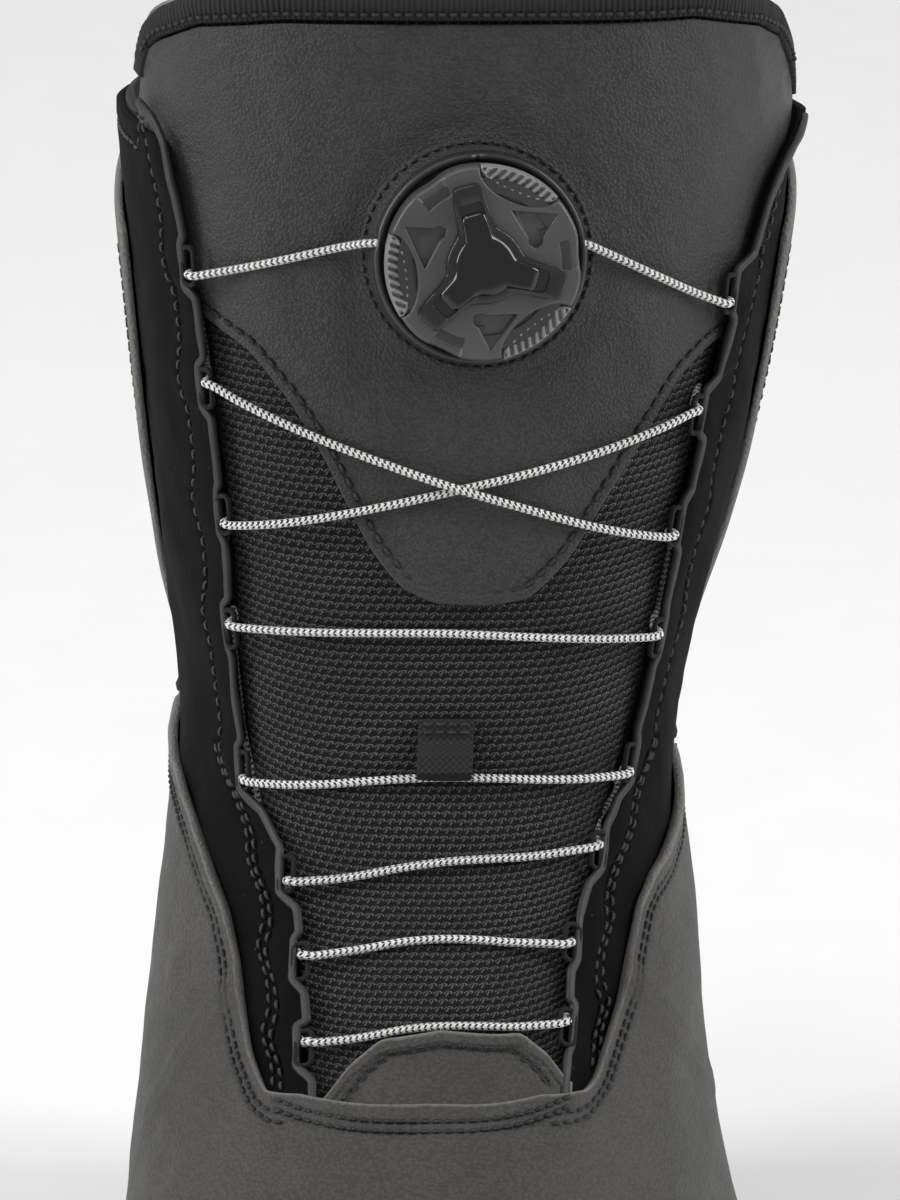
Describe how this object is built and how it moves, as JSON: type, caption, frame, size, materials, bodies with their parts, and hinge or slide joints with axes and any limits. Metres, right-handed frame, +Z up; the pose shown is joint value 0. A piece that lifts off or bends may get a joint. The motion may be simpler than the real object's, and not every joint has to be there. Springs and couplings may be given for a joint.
{
  "type": "snowboard boot",
  "caption": "Ankle-high winter sports boot with a panelled upper, a hinged tongue, a thin lace drawn by a turning dial on the tongue, and a foam inner boot.",
  "frame": {"origin": "on the ground under the middle of the boot", "axes": "+Z up, toe towards -Y, heel towards +Y, inner side of the foot towards -X, outer side towards +X"},
  "size_m": [0.1364, 0.3, 0.316],
  "materials": {
    "outsole_rubber": "moulded matt rubber",
    "midsole_foam": "moulded foam with a fine skin",
    "shank_steel": "bare spring steel",
    "heel_cushion_foam": "soft foam",
    "lasting_board_fibre": "pressed fibre board",
    "leather": "satin grained faux leather",
    "guard_rubber": "moulded matt rubber",
    "nubuck": "matt nubuck",
    "webbing": "woven webbing",
    "binding_tape": "ribbed tape",
    "lining_foam": "foam-backed mesh",
    "edge_tape": "folded edge tape",
    "guide_webbing": "woven guide loops",
    "gusset_mesh": "stretch mesh",
    "tongue_knit": "ribbed three-dimensional knit",
    "tongue_leather": "satin grained faux leather",
    "patch_leather": "satin leather",
    "dial_black": "moulded nylon",
    "screw_steel": "zinc-plated steel",
    "dial_inner": "glass-filled nylon",
    "lace_white": "braided lace",
    "grip_rubber": "soft overmould",
    "dial_gloss": "polished plastic",
    "liner_fabric": "foam liner with a fabric face",
    "insole_foam": "foam insole with a fabric face"
  },
  "bodies": {
    "boot": {"outsole": "outsole_rubber", "midsole": "midsole_foam", "shank": "shank_steel", "heel_cushion": "heel_cushion_foam", "lasting_board": "lasting_board_fibre", "vamp": "leather", "quarter_medial": "leather", "quarter_lateral": "leather", "toe_bumper": "guard_rubber", "heel_counter": "guard_rubber", "front_panel_medial": "nubuck", "front_panel_lateral": "nubuck", "cuff_medial": "leather", "cuff_lateral": "leather", "backstay": "nubuck", "heel_loop": "webbing", "collar_binding": "binding_tape", "shell_lining_lower": "lining_foam", "shell_lining_upper": "lining_foam", "throat_edge_medial": "edge_tape", "throat_edge_lateral": "edge_tape", "lace_guides_medial": "guide_webbing", "lace_guides_lateral": "guide_webbing", "gusset_medial": "gusset_mesh", "gusset_lateral": "gusset_mesh", "tongue_lower": "tongue_knit", "tongue_tab": "tongue_leather", "lace_upper": "lace_white", "lace_lower": "lace_white", "liner_foot": "liner_fabric", "liner_cuff": "liner_fabric", "liner_pull_loop": "webbing", "insole": "insole_foam"},
    "tongue": {"tongue_upper": "tongue_knit", "tongue_leather": "tongue_leather", "tongue_binding": "binding_tape", "lace_keeper": "webbing", "dial_patch": "patch_leather", "dial_base": "dial_black", "dial_screw": "screw_steel"},
    "spool": {"dial_spool": "dial_inner", "spool_lace": "lace_white"},
    "knob": {"knob_core": "dial_black", "knob_grips": "grip_rubber", "knob_cover": "dial_gloss", "dial_pawl_ring": "dial_inner"},
    "inner_tongue": {"liner_tongue": "liner_fabric"}
  },
  "joints": [
    {"name": "tongue_flex", "type": "hinge", "parent": "boot", "child": "tongue", "pos_m": [0, -0.019, 0.1635], "axis": [1, 0, 0], "range_deg": [0, 25], "deforming": ["lace_upper"]},
    {"name": "inner_tongue_flex", "type": "hinge", "parent": "boot", "child": "inner_tongue", "pos_m": [0, -0.019, 0.1635], "axis": [1, 0, 0], "range_deg": [0, 25]},
    {"name": "dial_turn", "type": "hinge", "parent": "tongue", "child": "spool", "pos_m": [0.0055, 0.00153, 0.2672], "axis": [0.1035, -0.9848, 0.1392], "continuous": true},
    {"name": "dial_pull", "type": "slide", "parent": "spool", "child": "knob", "axis": [0.1035, -0.9848, 0.1392], "range_m": [0, 0.0035]}
  ],
  "couplings": [
    {"joint": "inner_tongue_flex", "follows": "tongue_flex", "ratio": 0.9}
  ]
}
